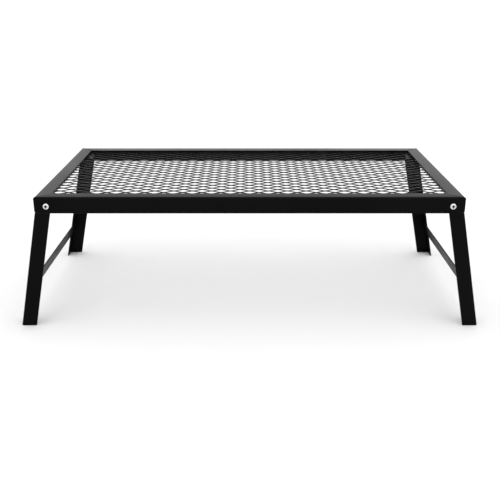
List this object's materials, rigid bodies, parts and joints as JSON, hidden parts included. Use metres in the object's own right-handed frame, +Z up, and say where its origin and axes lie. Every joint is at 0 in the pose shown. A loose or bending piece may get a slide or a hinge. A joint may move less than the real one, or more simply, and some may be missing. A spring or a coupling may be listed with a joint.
{
  "type": "folding camp grill",
  "caption": "Rectangular steel angle frame with an expanded-metal grate, standing on splayed angle legs that fold flat underneath in braced pairs.",
  "frame": {"origin": "on the ground below the middle of the grate, with the legs open", "axes": "+X along the length towards the right-hand legs, +Y from the front rail to the rear rail, +Z up"},
  "size_m": [0.6388, 0.3112, 0.187],
  "materials": {
    "powder_coat": "black satin powder coat with a fine texture",
    "grate_paint": "black satin powder coat on expanded steel",
    "zinc_plate": "bright zinc plate"
  },
  "bodies": {
    "frame": {"front_rail": "powder_coat", "rear_rail": "powder_coat", "left_rail": "powder_coat", "right_rail": "powder_coat", "grate": "grate_paint", "front_left_pivot_screw": "zinc_plate", "rear_left_pivot_screw": "zinc_plate", "front_right_pivot_screw": "zinc_plate", "rear_right_pivot_screw": "zinc_plate", "front_left_washer": "zinc_plate", "rear_left_washer": "zinc_plate", "front_right_washer": "zinc_plate", "rear_right_washer": "zinc_plate", "front_left_lock_nut": "zinc_plate", "rear_left_lock_nut": "zinc_plate", "front_right_lock_nut": "zinc_plate", "rear_right_lock_nut": "zinc_plate"},
    "left_legs": {"front_left_leg": "powder_coat", "rear_left_leg": "powder_coat", "left_brace": "powder_coat"},
    "right_legs": {"front_right_leg": "powder_coat", "rear_right_leg": "powder_coat", "right_brace": "powder_coat"}
  },
  "joints": [
    {"name": "left_fold", "type": "hinge", "parent": "frame", "child": "left_legs", "pos_m": [-0.2686, 0, 0.175], "axis": [0, -1, 0], "range_deg": [0, 101.5]},
    {"name": "right_fold", "type": "hinge", "parent": "frame", "child": "right_legs", "pos_m": [0.2686, 0, 0.175], "axis": [0, 1, 0], "range_deg": [0, 101.5]}
  ]
}
